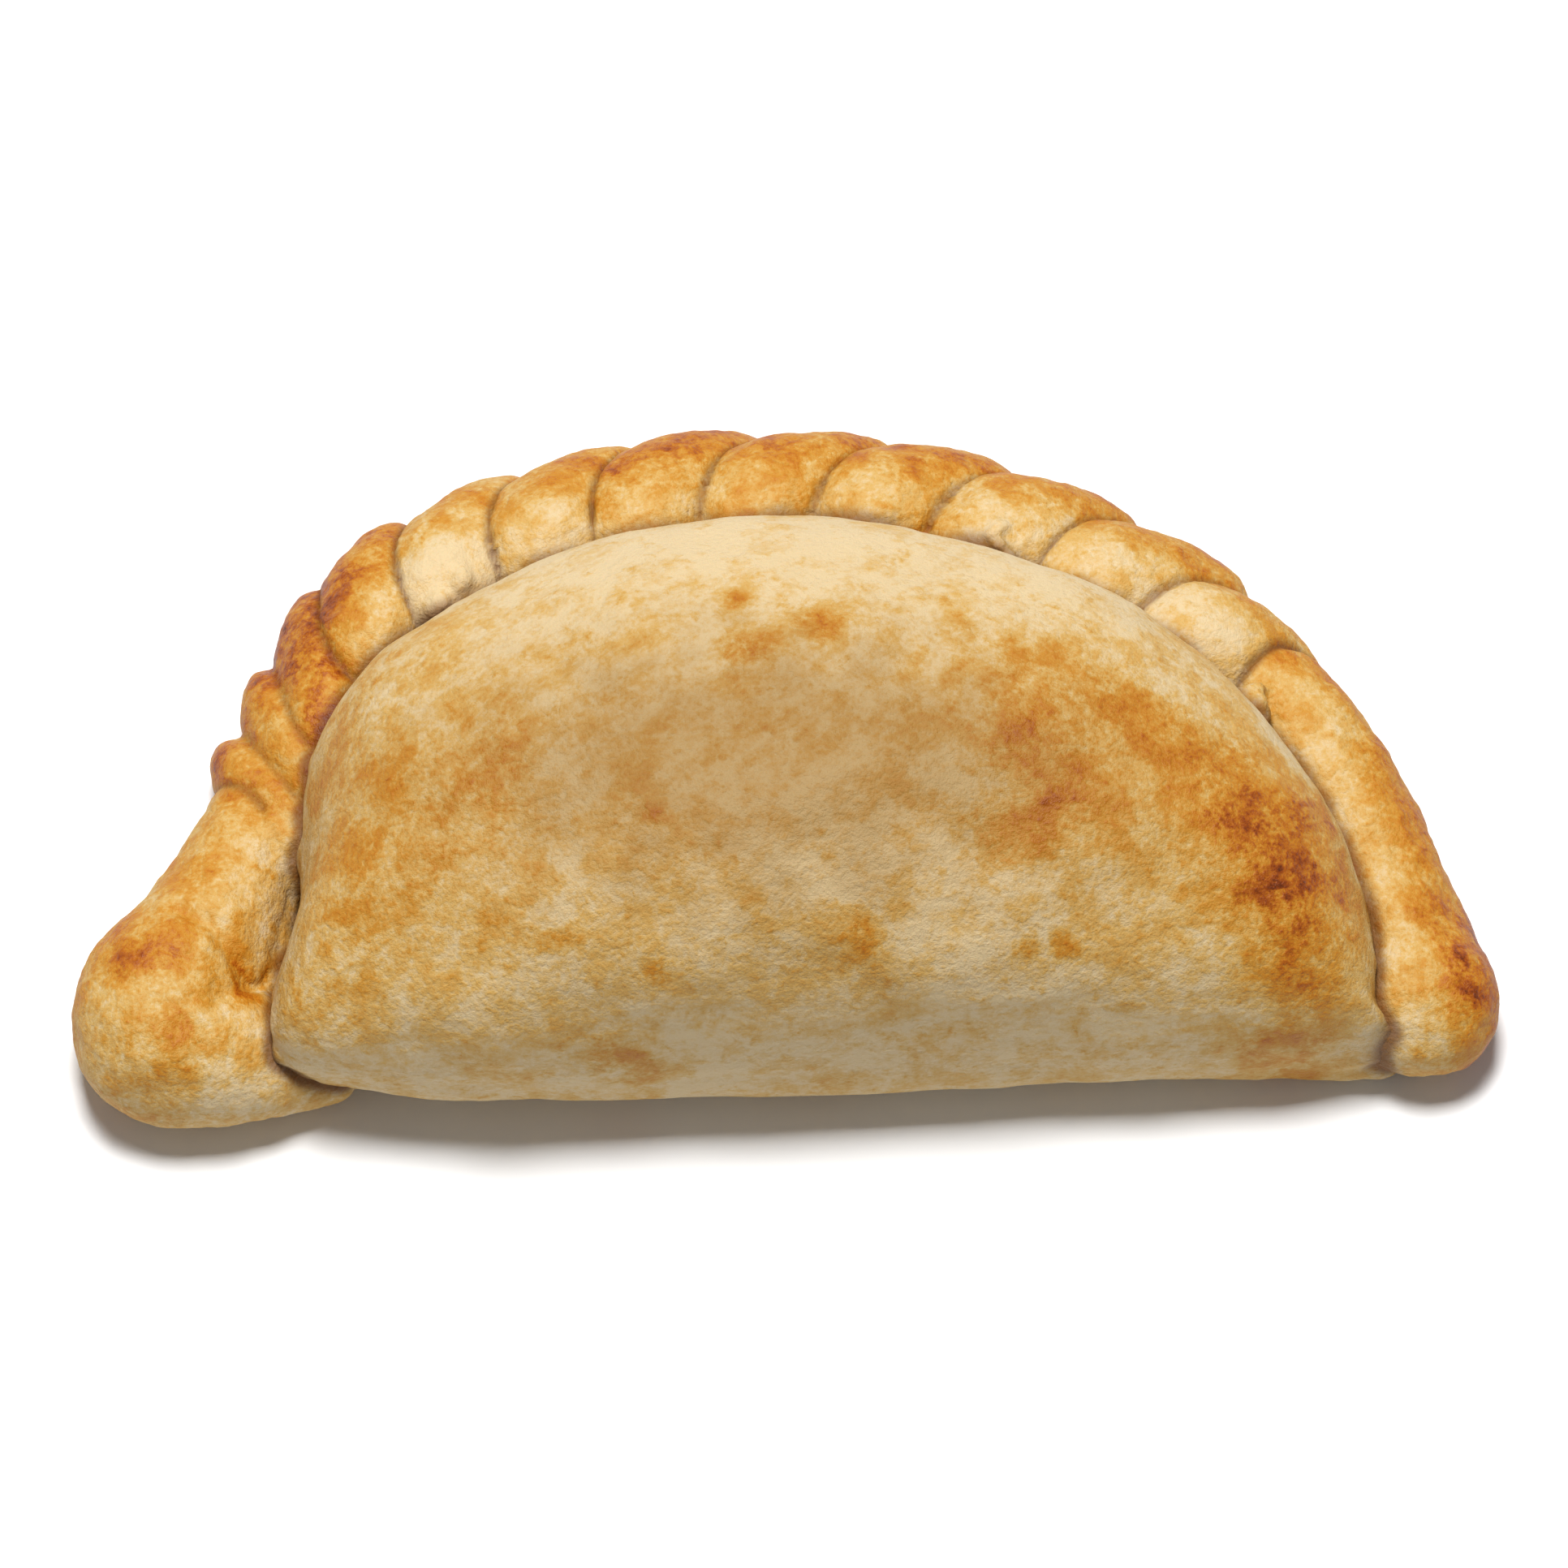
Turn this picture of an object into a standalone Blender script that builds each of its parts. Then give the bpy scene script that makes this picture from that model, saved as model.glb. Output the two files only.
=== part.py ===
"""A baked empanada: a half-moon turnover with a domed, filled belly, a folded front edge and a
rope-crimped rim, lying on its flat back.

The dough is one closed shell round its filling, so the whole is a single solid. It is joined from a
belly, the overlapping folds of the rope, a plain rolled rim, and a fat dough end at each side.
X runs along the fold, +Y from the fold to the crown of the rope, and +Z up from the flat back.
"""

import math

import bmesh
import bpy
from mathutils import Matrix, Vector, noise

MM = 0.001

# The belly's girth, seen from above: a half superellipse behind its widest line, and a shallow,
# squarer one in front of it, where the disc of dough is folded over.
BELLY_HALF_LENGTH = 50.8 * MM
CROWN_DEPTH = 46.0 * MM
FOLD_DEPTH = 9.9 * MM
WIDEST_LINE = Vector((2.6 * MM, -22.3 * MM))
CROWN_LEAN = -0.08
CROWN_POWER = 2.1
FOLD_POWER = 4.4
FOLD_SLOPE = 0.016

# The belly's height over that girth.
DOME_PEAK = Vector((1.0 * MM, -9.0 * MM))
DOME_HALF_LENGTH = 50.0 * MM
DOME_BACK_DEPTH = 32.5 * MM
DOME_FRONT_DEPTH = 23.0 * MM
DOME_TOP = 33.5 * MM
GIRTH_HEIGHT = 10.5 * MM
DOME_POWER = 2.35
UNDER_POWER = 3.0
LUMP_SIZE = 24.0 * MM
LUMP_DEPTH = 0.7 * MM

# The rope lies round the belly with its centre line this far outside the girth.
ROPE_OFFSET = 4.7 * MM
ROPE_CENTRE_HEIGHT = 5.2 * MM
LOBE_HALF_LENGTH = 9.6 * MM
LOBE_HALF_WIDTH = 5.5 * MM
LOBE_HALF_HEIGHT = 5.6 * MM
LOBE_TURN = math.radians(31.0)
LOBE_PITCH = math.radians(9.0)
LOBE_TAPER = 0.2
# Each fold: its place along the rope from the crown, its shift outwards, and its own length,
# width and height.
LOBES = (
    (-66.5, -2.8, 0.94, 0.84, 0.92),
    (-58.6, -2.2, 0.98, 0.84, 1.00),
    (-50.4, -0.8, 1.04, 0.96, 1.05),
    (-40.8, 0.1, 1.02, 1.02, 1.06),
    (-31.0, 0.0, 1.00, 1.00, 1.00),
    (-20.8, -0.1, 1.00, 1.00, 0.98),
    (-10.3, 0.0, 1.02, 1.00, 0.98),
    (0.6, -0.1, 1.02, 1.00, 0.98),
    (11.6, -0.2, 1.05, 1.02, 1.02),
    (22.9, -0.6, 1.06, 1.02, 1.00),
    (34.3, -0.6, 1.05, 1.00, 0.96),
    (45.8, -0.6, 1.03, 0.98, 0.94),
)

# The rolled rim goes from the last fold to the right end, and the neck from the first one to the
# left end: places along the rope, sideways shift, height of the centre, and radius.
ROLLED_RIM = (
    (48.0, 0.2, 4.6, 4.2),
    (56.0, -0.3, 4.8, 4.9),
    (65.0, -0.9, 4.8, 5.1),
    (74.0, -0.8, 4.8, 5.1),
    (81.0, 0.2, 4.8, 4.9),
)
NECK = (
    (-63.0, 0.0, 5.0, 4.8),
    (-70.0, -0.6, 5.4, 5.4),
    (-77.0, 0.8, 6.2, 6.4),
    (-83.0, 1.6, 7.0, 7.4),
)

# The fat ends, where the rope's last turn is tucked away: centre, half sizes and turn about Z.
LEFT_KNOB = (Vector((-55.2, -24.6, 7.4)) * MM, Vector((9.3, 10.4, 8.4)) * MM, math.radians(-24))
KNOB_TAIL = (Vector((-48.0, -28.6, 4.6)) * MM, Vector((10.5, 4.9, 5.4)) * MM, math.radians(-10))
RIGHT_END = (Vector((59.0, -20.6, 5.4)) * MM, Vector((5.2, 8.2, 5.8)) * MM, math.radians(22))
RIGHT_TUCK = (Vector((47.5, -26.0, 7.0)) * MM, Vector((10.8, 4.6, 7.6)) * MM, math.radians(2))

RIM_SIDES_RESOLUTION = 2
CRUST_COLOUR = (0.62, 0.34, 0.11, 1.0)


def superellipse(angle, half_x, half_y, power):
    """The point of a superellipse at this parameter angle."""
    c, s = math.cos(angle), math.sin(angle)
    x = math.copysign(abs(c) ** (2 / power), c) * half_x
    y = math.copysign(abs(s) ** (2 / power), s) * half_y
    return Vector((x, y))


def girth(angle):
    """The belly's outline from above: angle 0 is its right end, 90 degrees its crown."""
    if math.sin(angle) >= 0:
        p = superellipse(angle, BELLY_HALF_LENGTH, CROWN_DEPTH, CROWN_POWER)
        p += Vector((CROWN_LEAN * p.y, FOLD_SLOPE * p.x * (1 - p.y / CROWN_DEPTH)))
    else:
        p = superellipse(angle, BELLY_HALF_LENGTH, FOLD_DEPTH, FOLD_POWER)
        p.y += FOLD_SLOPE * p.x
    return WIDEST_LINE + p


def dome_ring(angle, out):
    """A level line of the dome at this share of the way out: round by the peak, the girth at 1."""
    depth = DOME_BACK_DEPTH if math.sin(angle) >= 0 else DOME_FRONT_DEPTH
    oval = Vector((DOME_HALF_LENGTH * math.cos(angle), depth * math.sin(angle)))
    edge = girth(angle) - DOME_PEAK
    return DOME_PEAK + oval.lerp(edge, out ** 3) * out


def rope_line():
    """The rope's centre line from left to right: (place from the crown, point, tangent) rows."""
    steps = 360
    turns = [math.pi * (1 - i / steps) for i in range(steps + 1)]
    edge = [girth(a) for a in turns]
    line = []
    for i, p in enumerate(edge):
        tangent = (edge[min(i + 1, steps)] - edge[max(i - 1, 0)]).normalized()
        line.append((p + Vector((-tangent.y, tangent.x)) * ROPE_OFFSET, tangent))
    places = [0.0]
    for i in range(1, len(line)):
        places.append(places[-1] + (line[i][0] - line[i - 1][0]).length)
    crown = min(range(len(line)), key=lambda i: abs(line[i][0].x))
    return [(s - places[crown], p, t) for s, (p, t) in zip(places, line)]


ROPE = rope_line()


def rope_frame(place):
    """Point, tangent and outward normal of the rope's centre line at this place along it."""
    if place <= ROPE[0][0]:
        s, p, t = ROPE[0]
    elif place >= ROPE[-1][0]:
        s, p, t = ROPE[-1]
    else:
        s, p, t = min(ROPE, key=lambda row: abs(row[0] - place))
    t = t.normalized()
    return p + t * (place - s), t, Vector((-t.y, t.x))


def new_object(name, mesh, collection):
    """An object of this mesh, in this collection."""
    obj = bpy.data.objects.new(name, mesh)
    collection.objects.link(obj)
    return obj


def ball(name, segments, rings, collection):
    """A unit sphere with its poles on Z."""
    bm = bmesh.new()
    bmesh.ops.create_uvsphere(bm, u_segments=segments, v_segments=rings, radius=1.0)
    mesh = bpy.data.meshes.new(name)
    bm.to_mesh(mesh)
    bm.free()
    return new_object(name, mesh, collection)


def lump(point):
    """How far the filled dough stands out or in here, with its soft unevenness."""
    return LUMP_DEPTH * noise.noise(point / LUMP_SIZE)


def make_belly(collection):
    """The filled belly: a sphere whose every meridian becomes a quarter superellipse to the girth."""
    belly = ball("empanada", 64, 26, collection)
    mesh = belly.data
    for v in mesh.vertices:
        x, y, z = v.co
        angle = math.atan2(y, x)
        out = min(math.hypot(x, y), 1.0)
        rise = math.sqrt(max(0.0, 1.0 - out * out))
        if z >= 0:
            out **= 2 / DOME_POWER
            height = GIRTH_HEIGHT + (DOME_TOP - GIRTH_HEIGHT) * rise ** (2 / DOME_POWER)
        else:
            out **= 2 / UNDER_POWER
            height = GIRTH_HEIGHT * (1 - 1.04 * rise ** (2 / UNDER_POWER))
        plan = dome_ring(angle, out)
        point = Vector((plan.x, plan.y, height))
        v.co = point + Vector((x, y, z)) * lump(point)
    return belly


def egg(name, centre, half_sizes, turn, pitch, taper, collection):
    """A dough lump: a sphere stretched to half_sizes, its +X end narrower by taper."""
    obj = ball(name, 18, 12, collection)
    for v in obj.data.vertices:
        narrow = 1.0 - taper * v.co.x
        x, y, z = v.co
        v.co = (x * half_sizes.x, y * half_sizes.y * narrow, z * half_sizes.z * narrow)
    turned = Matrix.Rotation(turn, 4, "Z") @ Matrix.Rotation(pitch, 4, "Y")
    obj.data.transform(Matrix.Translation(centre) @ turned)
    return obj


def make_lobe(index, row, collection):
    """One fold of the rope: its head is raised over the tail of the fold before it."""
    place, outwards, length, width, height = row
    point, tangent, normal = rope_frame(place * MM)
    point = point + normal * (outwards * MM)
    half = Vector((LOBE_HALF_LENGTH * length, LOBE_HALF_WIDTH * width, LOBE_HALF_HEIGHT * height))
    turn = math.atan2(tangent.y, tangent.x) + LOBE_TURN
    centre = Vector((point.x, point.y, ROPE_CENTRE_HEIGHT))
    return egg(f"fold_{index}", centre, half, turn, LOBE_PITCH, LOBE_TAPER, collection)


def make_roll(name, rows, collection):
    """A rolled length of dough along the rope line, with its own radius at each row."""
    curve = bpy.data.curves.new(name, "CURVE")
    curve.dimensions = "3D"
    curve.bevel_depth = 1.0
    curve.bevel_resolution = RIM_SIDES_RESOLUTION
    curve.use_fill_caps = True
    curve.resolution_u = 3
    spline = curve.splines.new("NURBS")
    spline.points.add(len(rows) - 1)
    spline.order_u = 4
    spline.use_endpoint_u = True
    for point, (place, side, height, radius) in zip(spline.points, rows):
        centre, _, normal = rope_frame(place * MM)
        centre = centre + normal * (side * MM)
        point.co = (centre.x, centre.y, height * MM, 1.0)
        point.radius = radius * MM
    shape = new_object(name + "_curve", curve, collection)
    depsgraph = bpy.context.evaluated_depsgraph_get()
    mesh = bpy.data.meshes.new_from_object(shape.evaluated_get(depsgraph))
    bm = bmesh.new()
    bm.from_mesh(mesh)
    bmesh.ops.remove_doubles(bm, verts=bm.verts, dist=0.00001)
    bmesh.ops.recalc_face_normals(bm, faces=bm.faces)
    bm.to_mesh(mesh)
    bm.free()
    bpy.data.objects.remove(shape)
    return new_object(name, mesh, collection)


def make_table(collection):
    """A block whose top is the plane that the empanada was baked on."""
    bm = bmesh.new()
    bmesh.ops.create_cube(bm, size=1.0)
    mesh = bpy.data.meshes.new("table_cut")
    bm.to_mesh(mesh)
    bm.free()
    depth = 20.0 * MM
    mesh.transform(Matrix.Translation((0, 0, -depth / 2)) @ Matrix.Diagonal((0.2, 0.15, depth, 1)))
    return new_object("table_cut", mesh, collection)


def combine(target, tool, operation):
    """Joins tool to target, or cuts it away."""
    modifier = target.modifiers.new(tool.name, "BOOLEAN")
    modifier.operation = operation
    modifier.solver = "EXACT"
    modifier.object = tool
    tool.hide_render = True
    tool.display_type = "WIRE"


def crust_material():
    """Baked wheat dough with an egg wash."""
    material = bpy.data.materials.new("baked_dough")
    material.use_nodes = True
    shader = material.node_tree.nodes["Principled BSDF"]
    shader.inputs["Base Color"].default_value = CRUST_COLOUR
    shader.inputs["Roughness"].default_value = 0.55
    shader.inputs["Metallic"].default_value = 0.0
    return material


def build():
    """Clears the scene and makes the empanada."""
    for obj in list(bpy.data.objects):
        bpy.data.objects.remove(obj)
    whole = bpy.data.collections.new("empanada")
    pieces = bpy.data.collections.new("cutters")
    bpy.context.scene.collection.children.link(whole)
    bpy.context.scene.collection.children.link(pieces)

    belly = make_belly(whole)
    joined = [make_lobe(i, row, pieces) for i, row in enumerate(LOBES)]
    joined.append(make_roll("rolled_rim", ROLLED_RIM, pieces))
    joined.append(make_roll("neck", NECK, pieces))
    ends = {
        "left_knob": LEFT_KNOB,
        "knob_tail": KNOB_TAIL,
        "right_end": RIGHT_END,
        "right_tuck": RIGHT_TUCK,
    }
    for name, (centre, half, turn) in ends.items():
        joined.append(egg(name, centre, half, turn, 0.0, 0.0, pieces))
    for piece in joined:
        combine(belly, piece, "UNION")
    combine(belly, make_table(pieces), "DIFFERENCE")
    belly.data.materials.append(crust_material())
    belly.data.shade_smooth()
    belly.data.set_sharp_from_angle(angle=math.radians(40))


build()
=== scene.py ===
"""Looks of a baked empanada: a half-moon turnover of wheat dough with a rope-crimped rim.

Units are metres. X runs along the folded edge, +Y from the fold to the crown of the rope, and +Z up
from the flat back that it was baked on.
"""

import math
import random

import bpy
import numpy as np
from mathutils import Matrix, Vector, noise
from mathutils.bvhtree import BVHTree
from mathutils.kdtree import KDTree


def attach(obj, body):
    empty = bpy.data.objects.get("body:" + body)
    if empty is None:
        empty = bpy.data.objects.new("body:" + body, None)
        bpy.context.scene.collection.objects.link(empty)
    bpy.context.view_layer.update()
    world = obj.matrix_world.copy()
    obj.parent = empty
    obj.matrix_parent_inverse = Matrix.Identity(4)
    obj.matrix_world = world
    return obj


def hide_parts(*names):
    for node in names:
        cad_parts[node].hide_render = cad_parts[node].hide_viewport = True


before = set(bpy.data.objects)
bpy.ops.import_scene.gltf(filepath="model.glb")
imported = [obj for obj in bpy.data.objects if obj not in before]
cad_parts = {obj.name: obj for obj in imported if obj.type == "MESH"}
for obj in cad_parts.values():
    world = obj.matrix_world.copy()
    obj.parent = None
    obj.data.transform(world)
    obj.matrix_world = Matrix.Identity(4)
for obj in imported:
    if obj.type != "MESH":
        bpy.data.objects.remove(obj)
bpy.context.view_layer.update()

# ---------------------------------------------------------------------------------------------------
# Belly: one disc of wheat dough folded over a moist filling, so that the front edge is a fat round
# fold and the top a soft dome. It is a cube rounded to a ball, whose directions are then led out to
# the girth line that a folded disc has, and it is pressed flat below, where it lay on the tray.
# ---------------------------------------------------------------------------------------------------
MM = 0.001
BELLY_HALF_LENGTH = 50.0 * MM
CROWN_DEPTH = 43.4 * MM
FOLD_DEPTH = 8.5 * MM
WIDEST_LINE = np.array((3.0, -22.3)) * MM
CROWN_LEAN, CROWN_POWER = -0.08, 2.1
FOLD_SLOPE, FOLD_POWER = 0.045, 4.4
# The left side is drawn in below the rope, and the right corner runs out low under the end of the rim.
HIP_DENT, HIP_ANGLE, HIP_SPREAD = 2.6 * MM, math.radians(167), math.radians(15)
CORNER_REACH, CORNER_ANGLE, CORNER_SPREAD = 9.8 * MM, math.radians(-45), math.radians(22)
CORNER_DROP, CORNER_DROP_SPREAD = 8.6 * MM, math.radians(28)
DOME_PEAK = np.array((1.0, -9.0)) * MM
DOME_HALF_LENGTH, DOME_BACK_DEPTH, DOME_FRONT_DEPTH = 50.0 * MM, 31.0 * MM, 23.0 * MM
DOME_TOP, GIRTH_HEIGHT = 33.5 * MM, 10.5 * MM
DOME_POWER, UNDER_POWER = 2.25, 3.0
BELLY_CUTS = 100
# The part of the ball, measured from its top, that becomes the dome; the rest becomes the back.
DOME_SPAN = math.radians(120)


def superellipse(angle, half_x, half_y, power):
    """Points of a superellipse at these parameter angles."""
    c, s = np.cos(angle), np.sin(angle)
    x = np.sign(c) * np.abs(c) ** (2 / power) * half_x
    y = np.sign(s) * np.abs(s) ** (2 / power) * half_y
    return np.stack([x, y], axis=-1)


def bell(value, centre, spread):
    """A smooth hill of height 1 around a centre."""
    return np.exp(-(((value - centre) / spread) ** 2))


def girth(angle):
    """The belly's outline from above: angle 0 is its right end, and a quarter turn its crown."""
    angle = np.asarray(angle, float)
    back = superellipse(angle, BELLY_HALF_LENGTH, CROWN_DEPTH, CROWN_POWER)
    back = back + np.stack(
        [CROWN_LEAN * back[..., 1], FOLD_SLOPE * back[..., 0] * (1 - back[..., 1] / CROWN_DEPTH)], axis=-1
    )
    back[..., 0] += HIP_DENT * bell(angle, HIP_ANGLE, HIP_SPREAD)
    front = superellipse(angle, BELLY_HALF_LENGTH, FOLD_DEPTH, FOLD_POWER)
    front[..., 1] += FOLD_SLOPE * front[..., 0]
    front[..., 0] += CORNER_REACH * bell(angle, CORNER_ANGLE, CORNER_SPREAD)
    front[..., 0] += HIP_DENT * bell(math.pi, HIP_ANGLE, HIP_SPREAD) * np.clip(-np.cos(angle), 0, 1) ** 4
    return WIDEST_LINE + np.where((np.sin(angle) >= 0)[..., None], back, front)


def vertices_of(obj):
    """The mesh's points as an array."""
    points = np.empty(len(obj.data.vertices) * 3, np.float32)
    obj.data.vertices.foreach_get("co", points)
    return points.reshape(-1, 3).astype(float)


def set_vertices(obj, points):
    """Moves the mesh's points to these places."""
    obj.data.vertices.foreach_set("co", np.ascontiguousarray(points, np.float32).ravel())
    obj.data.update()


def take_up(obj):
    """Makes obj the only selected and active object."""
    for other in bpy.context.selected_objects:
        other.select_set(False)
    obj.select_set(True)
    bpy.context.view_layer.objects.active = obj


def finish_with(obj, kind, name, **settings):
    """Adds a modifier with these settings and applies it."""
    take_up(obj)
    modifier = obj.modifiers.new(name, kind)
    for key, value in settings.items():
        setattr(modifier, key, value)
    bpy.ops.object.modifier_apply(modifier=modifier.name)


def knead(obj, name, size, depth, octaves=2):
    """Gives the dough lumps of this size, standing this far in and out."""
    texture = bpy.data.textures.new(name, "CLOUDS")
    texture.noise_scale = size
    texture.noise_depth = octaves
    finish_with(
        obj, "DISPLACE", name, texture=texture, texture_coords="LOCAL", direction="NORMAL",
        mid_level=0.5, strength=2 * depth,
    )


def dome_points(directions):
    """Where the ball's directions come to lie on the belly."""
    x, y, z = directions.T
    angle = np.arctan2(y, x)
    out = np.minimum(np.hypot(x, y), 1.0)
    rise = np.sqrt(np.maximum(0.0, 1.0 - out**2))
    over = z >= 0
    reach = np.where(over, out ** (2 / DOME_POWER), out ** (2 / UNDER_POWER))
    widest = GIRTH_HEIGHT - CORNER_DROP * bell(angle, CORNER_ANGLE, CORNER_DROP_SPREAD)
    above = widest + (DOME_TOP - widest) * rise ** (2 / DOME_POWER)
    below = widest * (1 - rise ** (2 / UNDER_POWER))
    depth = np.where(y >= 0, DOME_BACK_DEPTH, DOME_FRONT_DEPTH)
    oval = np.stack([DOME_HALF_LENGTH * np.cos(angle), depth * np.sin(angle)], axis=-1)
    edge = girth(angle) - DOME_PEAK
    share = (reach**3)[:, None]
    plan = DOME_PEAK + (oval * (1 - share) + edge * share) * reach[:, None]
    return np.column_stack([plan, np.where(over, above, below)])


bpy.ops.mesh.primitive_cube_add(size=2.0)
belly = bpy.context.object
belly.name = belly.data.name = "belly"
bpy.ops.object.mode_set(mode="EDIT")
bpy.ops.mesh.select_all(action="SELECT")
bpy.ops.mesh.subdivide(number_cuts=BELLY_CUTS)
bpy.ops.object.mode_set(mode="OBJECT")
# Tangents spread the cube's squares evenly over the ball. Most of them are then led up to the dome, as
# the back is plain.
spread = np.tan(vertices_of(belly) * math.pi / 4)
spread /= np.linalg.norm(spread, axis=1, keepdims=True)
polar = np.arccos(np.clip(spread[:, 2], -1, 1))
led = np.where(
    polar < DOME_SPAN, polar * (math.pi / 2) / DOME_SPAN,
    math.pi - (math.pi - polar) * (math.pi / 2) / (math.pi - DOME_SPAN),
)
around = spread[:, :2] / np.maximum(np.linalg.norm(spread[:, :2], axis=1, keepdims=True), 1e-9)
set_vertices(belly, dome_points(np.column_stack([around * np.sin(led)[:, None], np.cos(led)])))
take_up(belly)
bpy.ops.object.shade_smooth()
knead(belly, "filling_lumps", 22.0 * MM, 1.1 * MM, octaves=1)
knead(belly, "dough_ripples", 7.5 * MM, 0.30 * MM)
knead(belly, "skin_pimples", 2.1 * MM, 0.08 * MM)

# ---------------------------------------------------------------------------------------------------
# Rope rim: the sealed edge, turned over itself by hand, fold after fold. Each fold is one drop of
# dough: modelled once from a ball, copied along the edge, and kneaded into one skin with a plain
# rolled length at the right and a fat tucked end at each side.
# ---------------------------------------------------------------------------------------------------
ROPE_OFFSET = 6.0 * MM
ROPE_VOXEL = 0.36 * MM
# Each fold: place along the rope from the crown, shift outwards, half length, half width, half height
# and height of the centre in mm, turn and pitch in degrees, taper, and how much browner than cream.
FOLDS = (
    (-62.8, -3.6, 10.0, 4.2, 5.4, 5.2, 50, 6, 0.00, 0.13),
    (-57.0, -3.9, 11.0, 4.4, 5.8, 5.4, 46, 6, 0.05, 0.17),
    (-49.4, -2.2, 11.0, 4.9, 6.2, 5.6, 42, 7, 0.10, 0.20),
    (-40.3, -0.1, 10.4, 5.8, 6.4, 5.6, 35, 9, 0.15, 0.12),
    (-30.2, 0.3, 10.6, 6.3, 6.1, 5.2, 30, 13, 0.28, -0.06),
    (-20.0, 0.0, 10.6, 6.3, 6.0, 5.2, 30, 13, 0.28, 0.03),
    (-9.9, 0.0, 10.8, 6.3, 6.0, 5.2, 31, 13, 0.28, 0.12),
    (0.9, -0.1, 10.8, 6.3, 6.0, 5.2, 31, 13, 0.28, 0.12),
    (12.0, -0.4, 11.0, 6.3, 6.1, 5.2, 31, 13, 0.28, 0.06),
    (23.3, -0.7, 11.0, 6.3, 6.0, 5.2, 30, 13, 0.28, 0.04),
    (34.6, -0.8, 10.8, 6.2, 5.8, 5.0, 28, 13, 0.28, 0.04),
    (45.1, -1.5, 10.2, 6.0, 5.6, 5.0, 25, 13, 0.28, -0.02),
)
# Rolled lengths: place along the rope, shift outwards, height of the centre, radius, all in mm. The
# rolled rim shows at the right; the sealed edge runs inside the folds and holds them together.
ROLLED_RIM = (
    (47.5, -1.2, 4.8, 4.4),
    (53.0, -1.2, 5.0, 5.4),
    (64.0, -2.1, 5.0, 5.6),
    (74.0, -2.2, 5.0, 5.8),
    (82.0, -1.4, 5.2, 6.4),
)
SEALED_EDGE = (
    (-66.0, -3.2, 5.0, 5.2),
    (-50.0, -2.4, 5.2, 5.6),
    (-36.0, -1.4, 4.6, 4.6),
    (-20.0, -1.2, 4.4, 4.6),
    (0.0, -1.2, 4.4, 4.6),
    (20.0, -1.2, 4.4, 4.6),
    (40.0, -1.4, 4.4, 4.6),
    (54.0, -1.6, 4.6, 4.6),
)
# The left end swells from the neck to a fat knob, and its tail is tucked under the belly's corner: X, Y,
# height of the centre and radius in mm.
LEFT_END = (
    (-45.4, 3.0, 4.6, 3.8),
    (-47.0, -4.0, 5.0, 4.8),
    (-49.8, -10.5, 5.6, 5.6),
    (-52.4, -17.6, 7.0, 6.8),
    (-58.3, -25.9, 7.2, 8.6),
    (-51.5, -27.2, 6.4, 7.3),
    (-41.0, -28.2, 3.8, 3.0),
)
# Below the neck, dough of the knob is tucked against the belly, and it closes the notch between them.
TUCKED_DOUGH = (
    (-46.5, -6.0, 4.2, 3.6),
    (-47.4, -13.0, 4.2, 4.0),
    (-48.4, -19.0, 4.2, 4.2),
    (-50.0, -25.0, 4.6, 4.4),
)
# The right end of the rim: centre and half sizes in mm, and turn in degrees.
RIGHT_END = ((57.9, -21.9, 6.0), (7.1, 7.5, 6.3), 26)
# Torn raw dough in the joints by the belly: X, Y, height and spread in mm, and how many bits.
RAW_BITS = (
    (-31.4, 16.8, 11.2, 2.2, 16),
    (-38.6, 12.2, 10.6, 1.8, 12),
    (-45.8, -7.6, 9.4, 1.5, 8),
    (20.6, 20.6, 11.6, 1.6, 8),
    (43.0, 4.6, 10.6, 1.9, 14),
)
# A small flap of the seam curled up inside the ninth fold: centre and half sizes in mm, and turn.
CURLED_FLAP = ((9.2, 23.4, 9.2), (3.6, 2.2, 3.4), 4)
# The knob is pinched where the neck turns into it: X and Y along the pinch in mm.
PINCH = ((-54.2, -16.0), (-51.0, -17.6), (-48.0, -22.0))
PINCH_DEPTH, PINCH_WIDTH = 0.8 * MM, 0.9 * MM


def rope_line():
    """The rope's centre line from left to right: places from the crown, points and tangents."""
    edge = girth(np.linspace(math.pi, 0, 721))
    tangent = np.gradient(edge, axis=0)
    tangent /= np.linalg.norm(tangent, axis=1, keepdims=True)
    line = edge + np.stack([-tangent[:, 1], tangent[:, 0]], axis=-1) * ROPE_OFFSET
    steps = np.linalg.norm(np.diff(line, axis=0), axis=1)
    places = np.concatenate([[0.0], np.cumsum(steps)])
    return places - places[np.abs(line[:, 0]).argmin()], line, tangent


ROPE_PLACES, ROPE_POINTS, ROPE_TANGENTS = rope_line()


def rope_frame(place):
    """Point, tangent and outward normal of the rope at this place, past its ends too."""
    i = np.abs(ROPE_PLACES - place).argmin()
    tangent = ROPE_TANGENTS[i]
    point = ROPE_POINTS[i] + tangent * (place - ROPE_PLACES[i])
    return point, tangent, np.array((-tangent[1], tangent[0]))


def dough_ball(name, segments=40, rings=28):
    """A unit ball of dough."""
    for other in bpy.context.selected_objects:
        other.select_set(False)
    bpy.ops.mesh.primitive_uv_sphere_add(segments=segments, ring_count=rings, radius=1.0)
    ball = bpy.context.object
    ball.name = name
    return ball


def lay(obj, centre, half, turn, pitch=0.0):
    """Stretches a unit ball to these half sizes, lays it in its place, and gives back how it lies."""
    turned = Matrix.Rotation(turn, 4, "Z") @ Matrix.Rotation(pitch, 4, "Y")
    lies = Matrix.Translation(Vector(centre)) @ turned @ Matrix.Diagonal((*half, 1.0))
    obj.data.transform(lies)
    return lies


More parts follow.
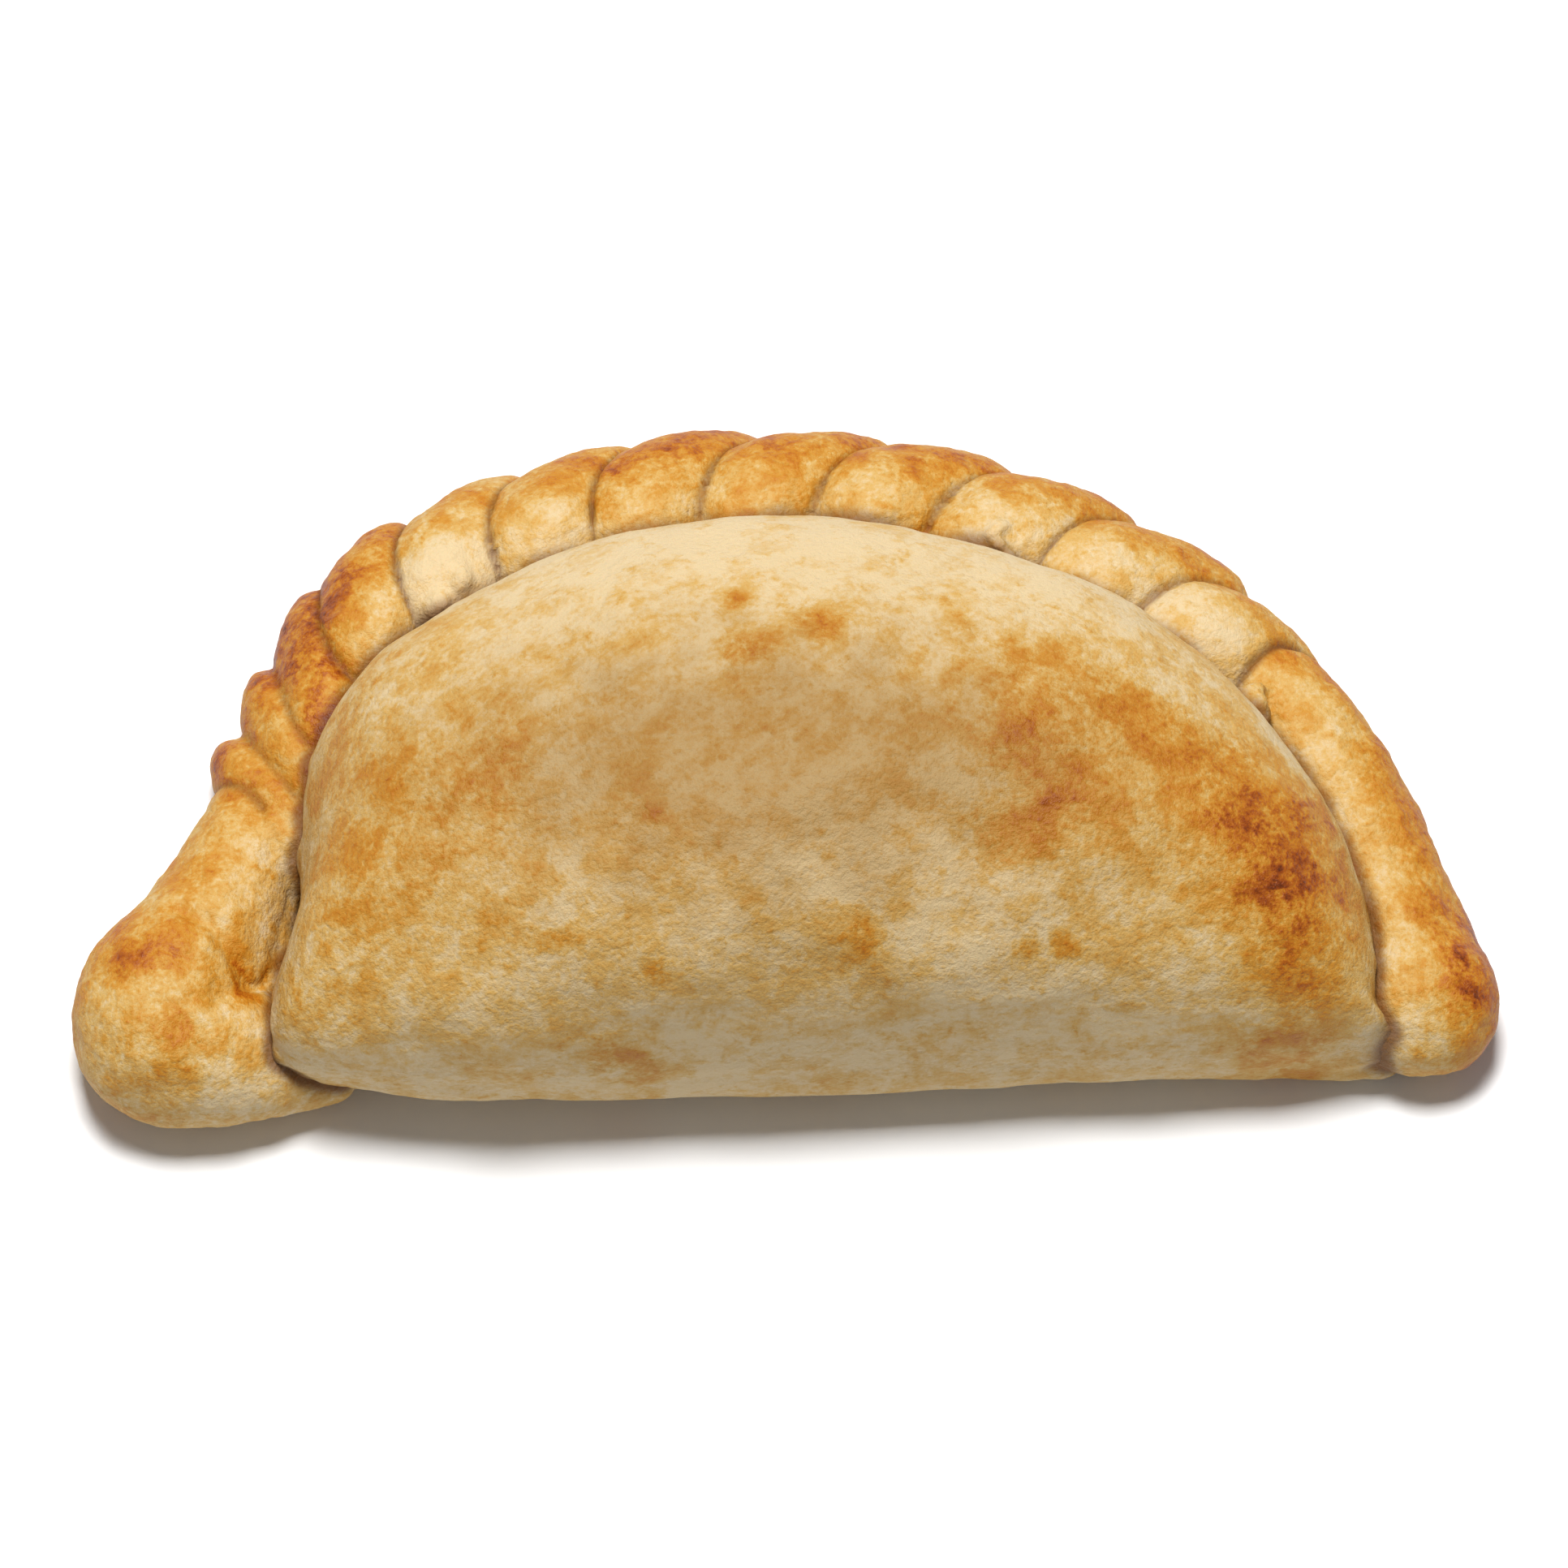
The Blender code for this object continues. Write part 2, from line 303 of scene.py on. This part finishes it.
master = dough_ball("fold_master", 64, 44)
round_drop = vertices_of(master)
rope_parts, fold_lies = [], []
for number, row in enumerate(FOLDS):
    place, outwards, length, width, height, z, turn, pitch, taper, _ = row
    fold = bpy.data.objects.new(f"fold_{number}", master.data.copy())
    bpy.context.scene.collection.objects.link(fold)
    drop = round_drop.copy()
    drop[:, 1:] *= (1 - taper * drop[:, 0])[:, None]
    set_vertices(fold, drop)
    point, tangent, normal = rope_frame(place * MM)
    point = point + normal * outwards * MM
    along = math.atan2(tangent[1], tangent[0]) + math.radians(turn)
    half = np.array((length, width, height)) * MM
    fold_lies.append(lay(fold, (*point, z * MM), half, along, math.radians(pitch)))
    rope_parts.append(fold)
bpy.data.objects.remove(master)


def along_rope(place, outwards, height, radius):
    """A row that is given along the rope line as X, Y, height and radius, in mm."""
    centre, _, normal = rope_frame(place * MM)
    return (*(centre / MM + normal * outwards), height, radius)


def spline(rows, count):
    """Points of a smooth cubic line drawn by these rows, which holds on to the first and the last."""
    held = np.array([rows[0], rows[0], *rows, rows[-1], rows[-1]], float)
    steps = np.linspace(0, len(held) - 3 - 1e-6, count)
    first = steps.astype(int)
    u = (steps - first)[:, None]
    weights = ((1 - u) ** 3, 3 * u**3 - 6 * u**2 + 4, 3 * (u + u**2 - u**3) + 1, u**3)
    return sum(weight * held[first + i] for i, weight in enumerate(weights)) / 6


# A rolled length is a close row of balls, so that it swells and thins as dough does in the hand.
BALLS_IN_ROLL = 48
ball_master = dough_ball("ball_master", 32, 20)
rolls = []
for rows in (
    [along_rope(*row) for row in ROLLED_RIM],
    LEFT_END,
    [along_rope(*row) for row in SEALED_EDGE],
    TUCKED_DOUGH,
):
    balls = spline(rows, BALLS_IN_ROLL)
    rolls.append(balls)
    for x, y, z, radius in balls:
        ball = bpy.data.objects.new("rolled_dough", ball_master.data.copy())
        bpy.context.scene.collection.objects.link(ball)
        lay(ball, np.array((x, y, z)) * MM, np.full(3, radius * MM), 0.0)
        rope_parts.append(ball)
bpy.data.objects.remove(ball_master)

right_end = dough_ball("right_end")
end_half = np.array(RIGHT_END[1]) * MM
end_lies = lay(right_end, np.array(RIGHT_END[0]) * MM, end_half, math.radians(RIGHT_END[2]))
rope_parts.append(right_end)

flap = dough_ball("curled_flap")
lay(flap, np.array(CURLED_FLAP[0]) * MM, np.array(CURLED_FLAP[1]) * MM, math.radians(CURLED_FLAP[2]))
rope_parts.append(flap)
chance = random.Random(11)
for x, y, z, spread, count in RAW_BITS:
    for _ in range(count):
        bit = dough_ball("raw_bit", 16, 10)
        middle = [chance.gauss(x, spread * 0.5), chance.gauss(y, spread * 0.5), chance.gauss(z, 0.4)]
        half = np.array([chance.uniform(0.6, 1.6), chance.uniform(0.5, 1.2), chance.uniform(0.5, 1.1)])
        turn, pitch = chance.uniform(0, math.pi), chance.uniform(-0.5, 0.5)
        lay(bit, np.array(middle) * MM, half * MM, turn, pitch)
        rope_parts.append(bit)

for part in rope_parts:
    part.select_set(True)
rope = rope_parts[0]
for other in bpy.context.selected_objects:
    if other not in rope_parts:
        other.select_set(False)
bpy.context.view_layer.objects.active = rope
bpy.ops.object.join()
rope.name = rope.data.name = "rope_rim"
finish_with(rope, "REMESH", "one_skin", mode="VOXEL", voxel_size=ROPE_VOXEL, use_smooth_shade=True)
finish_with(rope, "SMOOTH", "rested_dough", factor=0.5, iterations=2)


def unit_place(lies, points):
    """The points as seen from the unit ball that was laid in this way."""
    back = np.array(lies.inverted())
    return points @ back[:3, :3].T + back[:3, 3]


def own_parts(points):
    """Each point's distance in mm from the surface of every fold, the rim and the left end.

    It comes with the point's place inside each fold, in mm along the fold's own axes.
    """
    away, inside = [], []
    for lies, row in zip(fold_lies, FOLDS):
        local = unit_place(lies, points)
        width = 1 - row[8] * np.clip(local[:, 0], -1, 1)
        radius = np.sqrt(local[:, 0] ** 2 + (local[:, 1] ** 2 + local[:, 2] ** 2) / width**2)
        away.append((radius - 1) * row[3])
        inside.append(local * row[2:5])
    for balls in rolls[:2]:
        gaps = [np.linalg.norm(points / MM - ball[:3], axis=1) - ball[3] for ball in balls]
        away.append(np.min(gaps, axis=0))
    # The rolled rim runs into the right end without a joint.
    end_away = (np.linalg.norm(unit_place(end_lies, points), axis=1) - 1) * RIGHT_END[1][0]
    away[-2] = np.minimum(away[-2], end_away)
    return np.abs(np.array(away)), np.array(inside)


def distance_to_path(points, path):
    """How far each point lies from a line through these places, seen from above, in metres."""
    plan, nearest = points[:, :2], np.full(len(points), np.inf)
    for start, end in zip(path, path[1:]):
        a, b = np.array(start) * MM, np.array(end) * MM
        share = np.clip((plan - a) @ (b - a) / ((b - a) @ (b - a)), 0, 1)
        nearest = np.minimum(nearest, np.linalg.norm(plan - a - share[:, None] * (b - a), axis=1))
    return nearest


def normals_of(obj):
    """The mesh's point normals as an array."""
    normals = np.empty(len(obj.data.vertices) * 3, np.float32)
    obj.data.vertices.foreach_get("normal", normals)
    return normals.reshape(-1, 3).astype(float)


# The folds lie on each other without growing together, so a narrow joint stays between them. Its widths
# are in mm, as own_parts gives them.
JOINT_DEPTH, JOINT_WIDTH, JOINT_SHADE_WIDTH = 0.40 * MM, 0.26, 0.27
# The first folds and the knob are drawn out of one another, with hardly a joint.
SOFT_JOINTS, SOFT_JOINT_SHARE = (0, 1, 2, len(FOLDS) + 1), 0.35
rope_away, rope_inside = own_parts(vertices_of(rope))
owner = rope_away.argmin(axis=0)
second = np.sort(rope_away, axis=0)[1]
# Painted shade along the joints between folds, darkest at the joint.
joint_shade = np.exp(-((second / JOINT_SHADE_WIDTH) ** 2))
pinch = np.exp(-((distance_to_path(vertices_of(rope), PINCH) / PINCH_WIDTH) ** 2))
share = np.where(np.isin(owner, SOFT_JOINTS), SOFT_JOINT_SHARE, 1.0)
joint_shade *= np.sqrt(share)
pushed = JOINT_DEPTH * share * np.exp(-((second / JOINT_WIDTH) ** 2)) + PINCH_DEPTH * pinch
set_vertices(rope, vertices_of(rope) - normals_of(rope) * pushed[:, None])
knead(rope, "hand_marks", 8.5 * MM, 0.45 * MM, octaves=1)
knead(rope, "rope_ripples", 3.4 * MM, 0.16 * MM)
knead(rope, "rope_pimples", 1.7 * MM, 0.10 * MM)


def press_flat(obj):
    """The back is flat, from the tray: what hangs lower is pressed up to it."""
    points = vertices_of(obj)
    points[:, 2] = np.maximum(points[:, 2], 0.0)
    set_vertices(obj, points)


def gaps_to(obj, other):
    """How far each point of obj is from the other piece's surface."""
    other.data.calc_loop_triangles()
    tree = BVHTree.FromPolygons(
        [v.co for v in other.data.vertices], [tuple(t.vertices) for t in other.data.loop_triangles]
    )
    return np.array([tree.find_nearest(v.co)[3] for v in obj.data.vertices])


# Where the belly's skin runs into the rope it is drawn and torn a little, so its edge is ragged.
RAGGED_SIZE, RAGGED_HEIGHT, RAGGED_REACH = 2.6 * MM, 0.75 * MM, 2.2 * MM
ragged = np.array([noise.noise(Vector(p) / RAGGED_SIZE) for p in vertices_of(belly)])
lifted = RAGGED_HEIGHT * ragged * bell(gaps_to(belly, rope), 0.0, RAGGED_REACH)
set_vertices(belly, vertices_of(belly) + normals_of(belly) * lifted[:, None])

press_flat(belly)
press_flat(rope)

# ---------------------------------------------------------------------------------------------------
# Baked crust: wheat dough browned by the oven. It is cream where it stayed moist, gold where it
# dried, and orange to red brown where it stood up to the heat or took egg wash. Painted shade darkens
# the creases and the middle of the dome.
# ---------------------------------------------------------------------------------------------------
# Browned patches: X, Y and half sizes in mm, and how much browner each makes the cream crust.
BELLY_PATCHES = (
    (-31, -11, 9, 7, 0.11),
    (-25.5, -8, 3.5, 5, 0.12),
    (-37.5, -12, 6, 11, 0.08),
    (-39, -1, 3.5, 7, 0.12),
    (-33, -19, 11, 6, 0.12),
    (-41.5, -27, 5, 3, 0.14),
    (-33, 6, 5, 3, 0.08),
    (0, 4, 20, 3, 0.05),
    (-2, 15, 30, 4.5, -0.06),
    (24, -1, 8, 5, 0.20),
    (22.5, -8, 3.6, 5, 0.20),
    (25, -13, 6, 4, 0.16),
    (33, -5, 6, 5, 0.18),
    (38, -13, 5, 7, 0.12),
    (19, -15, 5, 3, 0.10),
    (43.4, -9.4, 4.8, 4.2, 0.24),
    (45.4, -14.6, 5.2, 6.4, 0.42),
    (46.8, -19.4, 4.2, 3.8, 0.24),
    (46.4, -24.5, 4, 2.6, 0.20),
    (45.5, -28.3, 3, 1.4, 0.20),
)
# Painted shade: the middle of the dome, and faintly its lower front, are darkened in colour: X, Y and half
# sizes in mm, and how much darker.
DOME_SHADE_PATCHES = (
    (-1.0, -8.0, 29, 12, 1.05),
    (0, -20, 34, 6, 0.10),
)
# Small golden spots where fat of the filling seeped through: X, Y and half sizes in mm.
SEEPED_SPOTS = (
    (-4.3, 7.0, 1.3, 1.2),
    (-2.7, 2.4, 2.0, 1.5),
    (3.5, 4.9, 1.7, 1.3),
    (-20.5, -23.8, 1.9, 0.9),
    (-10.8, -26.8, 1.3, 1.0),
    (-15.5, -30.6, 2.1, 0.8),
    (-12.4, -31.1, 1.2, 0.6),
    (7.1, -24.0, 1.7, 1.8),
    (22.2, -23.8, 1.2, 0.9),
    (25.5, -23.6, 1.2, 1.0),
    (-11.5, -14.0, 1.0, 0.8),
)
# The knob, the neck, the folds from left to right, the rolled rim and its end have patches of their own.
ROPE_PATCHES = (
    (-57.6, -19.6, 5.0, 3.6, 0.17),
    (-56.0, -22.4, 3.6, 2.6, 0.12),
    (-53.0, -28.4, 4.0, 2.2, 0.18),
    (-48.4, -21.5, 1.2, 3.4, 0.34),
    (-52.5, -11.0, 1.8, 3.0, 0.14),
    (-49.0, -5.0, 2.2, 4.5, 0.14),
    (-43.0, 9.5, 2.0, 4.0, 0.10),
    (-51.4, 1.0, 1.4, 4.0, 0.10),
    (-43.4, 10.5, 2.2, 5.0, 0.22),
    (-41.4, 4.0, 1.2, 6.0, 0.26),
    (-40.0, 18.8, 1.8, 2.2, 0.22),
    (-36.9, 22.6, 3.0, 1.2, 0.08),
    (-15.3, 26.2, 0.9, 1.6, 0.26),
    (12.0, 28.4, 5.5, 2.2, 0.04),
    (12.6, 22.0, 1.8, 2.6, 0.18),
    (35.5, 21.0, 5.0, 1.6, 0.06),
    (48.2, 11.5, 3.2, 3.2, 0.08),
    (55.4, -3.5, 2.0, 6.0, 0.10),
    (58.2, -9.5, 1.6, 3.0, 0.12),
    (59.6, -15.6, 3.0, 2.6, 0.16),
    (62.0, -21.0, 2.8, 3.6, 0.30),
)
# How far in mm the edges of patches and spots wander, and over what length.
PATCH_WANDER, SPOT_WANDER, PATCH_GRAIN, FINE_SHARE, FINE_RATIO = 2.6, 0.7, 4.5 * MM, 0.6, 2.7
SPOT_STRENGTH = 0.30
# Browning of the plain rim and the knob, and what the outer half of the rope has on top. The outer half
# starts this far in mm from the centre line, and the knob has only a share of it.
RIM_TONE, KNOB_TONE, OUTER_TONE = 0.09, 0.08, 0.32
OUTER_START, OUTER_SOFTNESS, KNOB_OUTER_SHARE = 1.6, 1.0, 0.3
# Blender's vector noise starts from the clock unless it is seeded.
WANDER_SEED = 4
noise.seed_set(WANDER_SEED)


def patch_field(points, patches, wandering=PATCH_WANDER):
    """How browned the crust is at these points by the named patches alone, with wandering edges."""
    coarse = np.array([noise.noise_vector(Vector(p) / PATCH_GRAIN) for p in points])
    fine = np.array([noise.noise_vector(Vector(p) * FINE_RATIO / PATCH_GRAIN) for p in points])
    plan = points[:, :2] / MM + wandering * (coarse + FINE_SHARE * fine)[:, :2]
    field = np.zeros(len(points))
    for x, y, half_x, half_y, strength in patches:
        away = ((plan[:, 0] - x) / half_x) ** 2 + ((plan[:, 1] - y) / half_y) ** 2
        field += strength / (1 + away**2)
    return field


def paint(obj, name, values):
    """Stores one number, or one vector, for each point of the mesh."""
    values = np.ascontiguousarray(values, np.float32)
    vectors = values.ndim == 2
    layer = obj.data.attributes.new(name, "FLOAT_VECTOR" if vectors else "FLOAT", "POINT")
    layer.data.foreach_set("vector" if vectors else "value", values.ravel())


belly_points, rope_points = vertices_of(belly), vertices_of(rope)
spots = [(*row, SPOT_STRENGTH) for row in SEEPED_SPOTS]
patched = patch_field(belly_points, BELLY_PATCHES)
paint(belly, "browning", patched + patch_field(belly_points, spots, SPOT_WANDER))
# Painted shade: the dome's darkened middle is stored as an attribute of its own.
paint(belly, "dome_shade", patch_field(belly_points, DOME_SHADE_PATCHES))

# The rope browns most on its outer side, which stood free in the oven.
rope_tree = KDTree(len(ROPE_POINTS))
for i, p in enumerate(ROPE_POINTS):
    rope_tree.insert((*p, 0), i)
rope_tree.balance()
nearest = np.array([rope_tree.find((p[0], p[1], 0))[1] for p in rope_points])
offset = rope_points[:, :2] - ROPE_POINTS[nearest]
outward = (ROPE_TANGENTS[nearest, 0] * offset[:, 1] - ROPE_TANGENTS[nearest, 1] * offset[:, 0]) / MM
tones = np.array([row[9] for row in FOLDS] + [RIM_TONE, KNOB_TONE])
outer_half = 1 / (1 + np.exp(-(outward - OUTER_START) / OUTER_SOFTNESS))
outer_half[owner == len(FOLDS) + 1] *= KNOB_OUTER_SHARE
patched = patch_field(rope_points, ROPE_PATCHES)
paint(rope, "browning", tones[owner] + OUTER_TONE * outer_half + patched)
# The rope gets no painted dome shade.
paint(rope, "dome_shade", np.zeros(len(rope_points)))

# Painted shade: the crease between belly and rope, and the joints between folds, are darkened in colour. The
# shade is widest behind the dome's crown.
BELLY_SHADE_REACH, SIDE_SHADE_REACH, CROWN_SHADE_REACH = 0.7 * MM, 0.9 * MM, 1.1 * MM
crease_shade_reach = SIDE_SHADE_REACH + CROWN_SHADE_REACH * ROPE_TANGENTS[nearest, 0]
rope_crease_shade = np.exp(-((gaps_to(rope, belly) / crease_shade_reach) ** 4))
paint(belly, "crease_shade", bell(gaps_to(belly, rope), 0.0, BELLY_SHADE_REACH))
paint(rope, "crease_shade", np.maximum(rope_crease_shade, joint_shade))

# Strands: the dough is drawn out along each fold, and slantwise over the belly. Each fold has strands of
# its own, so the pattern moves on by this many mm from fold to fold.
ROPE_STRETCH, BELLY_STRETCH = 0.25, 0.40
BELLY_SLANT = math.radians(38)
STRAND_SHIFT = 7.0
c, s = math.cos(BELLY_SLANT), math.sin(BELLY_SLANT)
slanted = belly_points @ np.array([[c, -s, 0], [s, c, 0], [0, 0, 1]]) / MM
paint(belly, "strand", slanted * (BELLY_STRETCH, 1, 1))
drawn = np.column_stack([outward, rope_points[:, 1] / MM * ROPE_STRETCH, rope_points[:, 2] / MM])
for number in range(len(FOLDS)):
    mine = owner == number
    drawn[mine] = rope_inside[number][mine] * (ROPE_STRETCH, 1, 1) + (STRAND_SHIFT * number, 0, 0)
paint(rope, "strand", drawn)


def linear(hex_colour):
    """An sRGB hex colour as a linear colour."""
    parts = [int(hex_colour[i : i + 2], 16) / 255 for i in (1, 3, 5)]
    return [c / 12.92 if c <= 0.04045 else ((c + 0.055) / 1.055) ** 2.4 for c in parts] + [1.0]


def add(tree, kind, inputs, **settings):
    """Adds a node with its settings, and sets or links its inputs."""
    made = tree.nodes.new(kind)
    for key, value in settings.items():
        setattr(made, key, value)
    for key, value in inputs.items():
        if isinstance(value, bpy.types.NodeSocket):
            tree.links.new(value, made.inputs[key])
        else:
            made.inputs[key].default_value = value
    return made


def ramp(tree, fac, stops):
    """A colour ramp through these places and colours."""
    made = add(tree, "ShaderNodeValToRGB", {"Fac": fac})
    elements = made.color_ramp.elements
    while len(elements) < len(stops):
        elements.new(0.5)
    for element, (place, colour) in zip(elements, stops):
        element.position = place
        element.color = linear(colour)
    return made.outputs["Color"]


def baked_dough(name, gloss, sheen):
    """Oven-baked wheat dough: matt and grainy where pale, smoother and shinier where browned.

    Gloss is the roughness of the brownest crust, and sheen the specular level of all of it.
    """
    material = bpy.data.materials.new(name)
    material.use_nodes = True
    tree = material.node_tree
    tree.nodes.clear()
    place = add(tree, "ShaderNodeTexCoord", {}).outputs["Object"]

    def noise_of(size_mm, detail, roughness=0.55, distortion=0.0):
        return add(
            tree, "ShaderNodeTexNoise",
            {
                "Vector": place, "Scale": 1000 / size_mm, "Detail": detail, "Roughness": roughness,
                "Distortion": distortion,
            },
        ).outputs["Fac"]

    def scaled(value, gain, base=0.0):
        return add(tree, "ShaderNodeMath", {0: value, 1: gain, 2: base}, operation="MULTIPLY_ADD").outputs[0]

    def plus(a, b):
        return add(tree, "ShaderNodeMath", {0: a, 1: b}, operation="ADD").outputs[0]

    def times(a, b):
        return add(tree, "ShaderNodeMath", {0: a, 1: b}, operation="MULTIPLY").outputs[0]

    def crisp(value, low, high, gain):
        return add(
            tree, "ShaderNodeMapRange",
            {"Value": value, "From Min": low, "From Max": high, "To Min": 0.0, "To Max": gain},
            interpolation_type="SMOOTHSTEP",
        ).outputs["Result"]

    # Two of these attributes carry painted shade: one for the middle of the dome, one for the creases.
    browning = add(tree, "ShaderNodeAttribute", {}, attribute_name="browning").outputs["Fac"]
    dome_shade = add(tree, "ShaderNodeAttribute", {}, attribute_name="dome_shade").outputs["Fac"]
    crease_shade = add(tree, "ShaderNodeAttribute", {}, attribute_name="crease_shade").outputs["Fac"]
    strand = add(tree, "ShaderNodeAttribute", {}, attribute_name="strand").outputs["Vector"]
    # Clouds are where the oven was hotter, mottle and flecks are blisters of the crust, veins the dough
    # between them, and grain its flour. Sizes are in mm.
    clouds = noise_of(17.0, 3.0)
    mottle = noise_of(4.2, 7.0, 0.68, 0.3)
    flecks = noise_of(1.5, 4.0, 0.65, 0.3)
    veins = noise_of(5.0, 6.0, 0.7, 0.2)
    grain = noise_of(0.55, 3.0, 0.65)
    strands = add(
        tree, "ShaderNodeTexNoise", {"Vector": strand, "Scale": 1.0, "Detail": 4.0, "Roughness": 0.62},
    ).outputs["Fac"]
    bake = plus(scaled(browning, 1.0, 0.08), scaled(clouds, 0.30, -0.15))
    bake = plus(bake, times(scaled(crisp(mottle, 0.42, 0.62, 1.0), 1.0, -0.5), scaled(browning, 0.28, 0.12)))
    # Pale veins: between the bubbles of the crust the dough stayed moist.
    ridge = add(tree, "ShaderNodeMath", {0: scaled(veins, 1.0, -0.5)}, operation="ABSOLUTE").outputs[0]
    veined = times(crisp(ridge, 0.0, 0.10, 1.0), scaled(browning, 0.22, 0.05))
    bake = plus(plus(bake, veined), scaled(browning, -0.13, -0.03))
    bake = plus(bake, crisp(flecks, 0.54, 0.72, 0.12))
    bake = plus(bake, scaled(strands, 0.24, -0.12))
    # Frosty grain: dry flour and burst bubbles stay pale on what is browned.
    bake = plus(bake, times(scaled(grain, 1.4, -0.70), scaled(browning, 0.75, 0.20)))
    crust = ramp(
        tree, bake,
        (
            (0.00, "#CFB88E"), (0.16, "#C6A05B"), (0.32, "#BD862F"), (0.48, "#B57216"),
            (0.62, "#A55A0C"), (0.80, "#8A3F08"), (1.00, "#5E2709"),
        ),
    )
    # Painted shade: the crust is mixed towards dark brown in the creases.
    # The Mix node's colour sockets share names with its other kinds, so they are linked by place.
    crease_shaded_crust = add(
        tree, "ShaderNodeMix", {"Factor": scaled(crease_shade, 0.80), 6: crust, 7: linear("#5E2B0A")},
        data_type="RGBA",
    ).outputs[2]
    # Painted shade: the crust is multiplied towards a grey beige in the shaded middle of the dome.
    crust_colour = add(
        tree, "ShaderNodeMix", {"Factor": dome_shade, 6: crease_shaded_crust, 7: linear("#C8B99E")},
        data_type="RGBA", blend_type="MULTIPLY",
    ).outputs[2]
    # The brownest crust is the smoothest.
    shine = add(
        tree, "ShaderNodeMapRange",
        {"Value": bake, "From Min": 0.2, "From Max": 0.8, "To Min": 0.62, "To Max": gloss},
    ).outputs["Result"]
    bumps = plus(plus(scaled(grain, 0.8), scaled(flecks, 0.5)), scaled(strands, 0.2))
    relief = add(tree, "ShaderNodeBump", {"Height": bumps, "Strength": 0.7, "Distance": 0.0004})
    shader = add(
        tree, "ShaderNodeBsdfPrincipled",
        {
            "Base Color": crust_colour, "Roughness": shine, "Normal": relief.outputs["Normal"],
            "Subsurface Weight": 0.08, "Subsurface Radius": (1.0, 0.5, 0.25), "Subsurface Scale": 0.0015,
            "IOR": 1.45, "Specular IOR Level": sheen,
        },
    )
    add(tree, "ShaderNodeOutputMaterial", {"Surface": shader.outputs["BSDF"]})
    return material


# The belly baked dry; the rope was brushed with egg, which left its brown parts a little smoother.
belly.data.materials.append(baked_dough("baked_wheat_dough", 0.42, 0.28))
rope.data.materials.append(baked_dough("egg_washed_dough", 0.40, 0.28))

for piece in (belly, rope):
    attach(piece, "root")
    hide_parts("empanada")

# ---------------------------------------------------------------------------------------------------
# Studio: a plain white card, a soft light above and a little behind, and a weak fill all round. The
# camera looks steeply down on the empanada, square to its fold.
# ---------------------------------------------------------------------------------------------------
for other in bpy.context.selected_objects:
    other.select_set(False)
bpy.ops.mesh.primitive_plane_add(size=6.0)
table = bpy.context.object
table.name = table.data.name = "table"
paper = bpy.data.materials.new("white_card")
paper.use_nodes = True
card = paper.node_tree.nodes["Principled BSDF"]
card.inputs["Base Color"].default_value = (0.92, 0.92, 0.92, 1.0)
card.inputs["Roughness"].default_value = 0.9
table.data.materials.append(paper)

world = bpy.data.worlds.new("studio")
world.use_nodes = True
world.node_tree.nodes["Background"].inputs["Color"].default_value = (1.0, 1.0, 1.0, 1.0)
world.node_tree.nodes["Background"].inputs["Strength"].default_value = 0.20
bpy.context.scene.world = world


def soft_light(name, place, aim, size, power):
    """A square soft box that looks at a point."""
    lamp = bpy.data.lights.new(name, "AREA")
    lamp.size = size
    lamp.energy = power
    box = bpy.data.objects.new(name, lamp)
    box.location = place
    box.rotation_euler = (Vector(aim) - Vector(place)).to_track_quat("-Z", "Y").to_euler()
    bpy.context.scene.collection.objects.link(box)


soft_light("key", (-0.03, 0.20, 0.88), (0, 0, 0.01), 0.24, 10.8)

ELEVATION = math.radians(70.0)
CAMERA_DISTANCE, VIEW_WIDTH = 0.9, 0.1427
AIM = Vector((0.0003, -0.0027, 0.010))
camera_data = bpy.data.cameras.new("camera")
camera_data.sensor_width = 36.0
camera_data.lens = camera_data.sensor_width * CAMERA_DISTANCE / VIEW_WIDTH
camera_data.clip_start, camera_data.clip_end = 0.05, 20.0
camera = bpy.data.objects.new("camera", camera_data)
camera.location = AIM + CAMERA_DISTANCE * Vector((0, -math.cos(ELEVATION), math.sin(ELEVATION)))
camera.rotation_euler = (math.pi / 2 - ELEVATION, 0, 0)
bpy.context.scene.collection.objects.link(camera)
bpy.context.scene.camera = camera
bpy.context.scene.view_settings.view_transform = "Standard"
